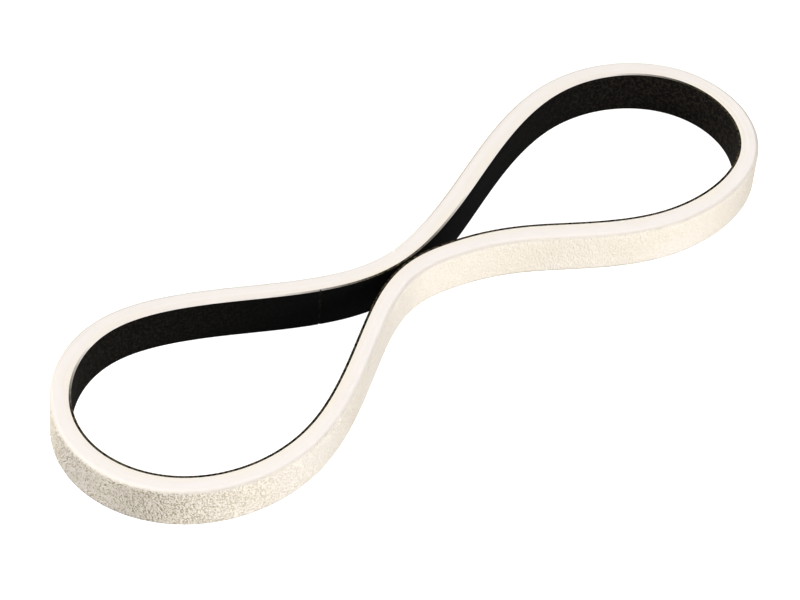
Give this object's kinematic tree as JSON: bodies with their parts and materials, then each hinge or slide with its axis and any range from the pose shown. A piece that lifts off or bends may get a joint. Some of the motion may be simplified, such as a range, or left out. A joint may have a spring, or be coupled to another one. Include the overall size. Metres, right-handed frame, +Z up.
{
  "type": "v belt",
  "caption": "Endless flat-sided drive belt with a ground cream rubber back and a black fabric driving face, pinched into an hourglass.",
  "frame": {"origin": "middle of the footprint, on the surface the belt stands on", "axes": "+X along the long way of the loop, +Z up, across the width of the belt"},
  "size_m": [0.3186, 0.099, 0.019],
  "materials": {
    "drive_fabric": "matt rubbered weave",
    "body_rubber": "smooth cut",
    "cushion_rubber": "smooth",
    "cord_yarn": "twisted yarn",
    "tie_fabric": "plain weave",
    "ground_rubber": "ground, matt"
  },
  "bodies": {
    "root": {"drive_ply": "drive_fabric", "base_rubber": "body_rubber", "cord_bed": "cushion_rubber", "tensile_cord_first": "cord_yarn", "tensile_cord_second": "cord_yarn", "cord_lid": "cushion_rubber", "tie_ply": "tie_fabric", "outer_cover": "ground_rubber"}
  },
  "joints": []
}
